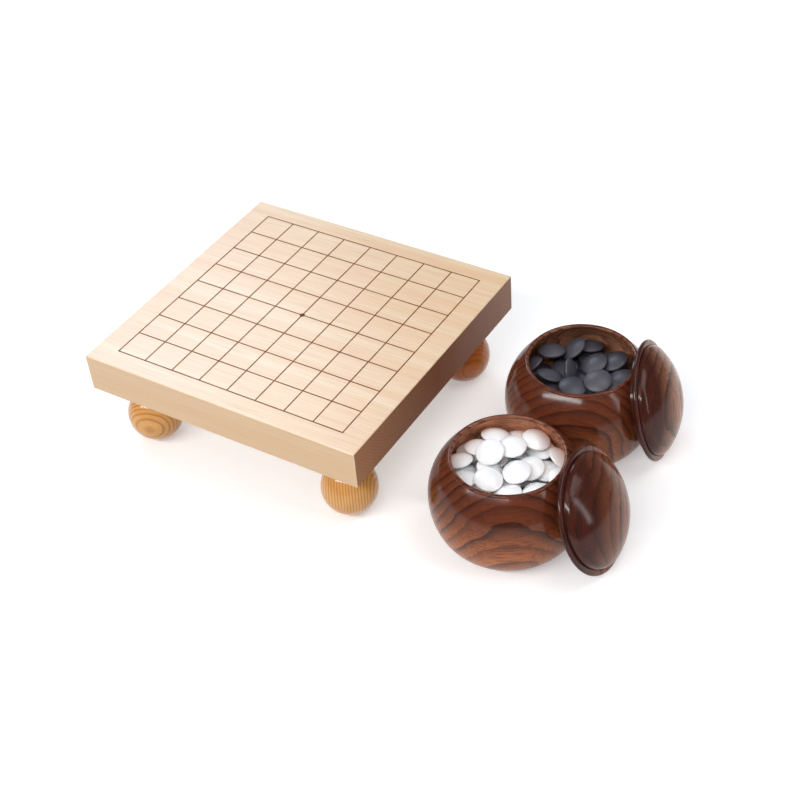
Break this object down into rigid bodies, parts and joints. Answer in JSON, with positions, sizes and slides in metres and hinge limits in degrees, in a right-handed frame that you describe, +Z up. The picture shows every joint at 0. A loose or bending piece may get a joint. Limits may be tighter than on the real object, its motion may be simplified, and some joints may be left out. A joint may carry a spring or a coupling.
{
  "type": "go board with stone bowls",
  "caption": "Footed go board with turned, lidded wooden bowls of black and white playing stones beside it.",
  "frame": {"origin": "on the table, under the middle of the whole set as it lies", "axes": "+X along the board's front edge towards the bowls, +Y from that edge to the back, +Z up"},
  "size_m": [0.3954, 0.227, 0.0854],
  "materials": {
    "board_wood": "fine straight grain, waxed",
    "line_lacquer": "dark brown lacquer",
    "foot_wood": "varnished, clear grain",
    "dowel_wood": "bare",
    "bowl_wood": "wiped lacquer over bold open grain, gloss",
    "white_stone": "polished",
    "black_stone": "matte"
  },
  "bodies": {
    "board": {"board_slab": "board_wood", "grid_lines": "line_lacquer", "star_point": "line_lacquer", "foot_front_left": "foot_wood", "foot_front_right": "foot_wood", "foot_back_left": "foot_wood", "foot_back_right": "foot_wood", "foot_dowel_front_left": "dowel_wood", "foot_dowel_front_right": "dowel_wood", "foot_dowel_back_left": "dowel_wood", "foot_dowel_back_right": "dowel_wood"},
    "white_bowl_with_stones": {"white_bowl": "bowl_wood", "white_stones_below": "white_stone", "white_stone_outer_1": "white_stone", "white_stone_outer_2": "white_stone", "white_stone_outer_3": "white_stone", "white_stone_outer_4": "white_stone", "white_stone_outer_5": "white_stone", "white_stone_outer_6": "white_stone", "white_stone_outer_7": "white_stone", "white_stone_outer_8": "white_stone", "white_stone_outer_9": "white_stone"},
    "white_handful": {"white_stone_handful_1": "white_stone", "white_stone_handful_2": "white_stone", "white_stone_handful_3": "white_stone", "white_stone_handful_4": "white_stone", "white_stone_handful_5": "white_stone", "white_stone_handful_6": "white_stone"},
    "white_top_stone": {"white_stone_top": "white_stone"},
    "white_lid": {"white_bowl_lid": "bowl_wood"},
    "black_bowl_with_stones": {"black_bowl": "bowl_wood", "black_stones_below": "black_stone", "black_stone_outer_1": "black_stone", "black_stone_outer_2": "black_stone", "black_stone_outer_3": "black_stone", "black_stone_outer_4": "black_stone", "black_stone_outer_5": "black_stone", "black_stone_outer_6": "black_stone", "black_stone_outer_7": "black_stone", "black_stone_outer_8": "black_stone", "black_stone_outer_9": "black_stone"},
    "black_handful": {"black_stone_handful_1": "black_stone", "black_stone_handful_2": "black_stone", "black_stone_handful_3": "black_stone", "black_stone_handful_4": "black_stone", "black_stone_handful_5": "black_stone", "black_stone_handful_6": "black_stone", "black_stone_handful_7": "black_stone"},
    "black_top_stone": {"black_stone_top": "black_stone"},
    "black_lid": {"black_bowl_lid": "bowl_wood"}
  },
  "joints": [
    {"name": "white_bowl_lift", "type": "slide", "parent": "board", "child": "white_bowl_with_stones", "axis": [0, 0, 1], "range_m": [0, 0.15]},
    {"name": "white_handful_lift", "type": "slide", "parent": "white_bowl_with_stones", "child": "white_handful", "axis": [0, 0, 1], "range_m": [0, 0.1]},
    {"name": "white_top_stone_lift", "type": "slide", "parent": "white_handful", "child": "white_top_stone", "axis": [0, 0, 1], "range_m": [0, 0.05]},
    {"name": "white_lid_away", "type": "slide", "parent": "white_bowl_with_stones", "child": "white_lid", "axis": [0.9085, 0.0955, 0.4067], "range_m": [0, 0.08]},
    {"name": "black_bowl_lift", "type": "slide", "parent": "board", "child": "black_bowl_with_stones", "axis": [0, 0, 1], "range_m": [0, 0.15]},
    {"name": "black_handful_lift", "type": "slide", "parent": "black_bowl_with_stones", "child": "black_handful", "axis": [0, 0, 1], "range_m": [0, 0.1]},
    {"name": "black_top_stone_lift", "type": "slide", "parent": "black_handful", "child": "black_top_stone", "axis": [0, 0, 1], "range_m": [0, 0.05]},
    {"name": "black_lid_away", "type": "slide", "parent": "black_bowl_with_stones", "child": "black_lid", "axis": [0.9327, 0.2326, 0.2756], "range_m": [0, 0.08]}
  ]
}
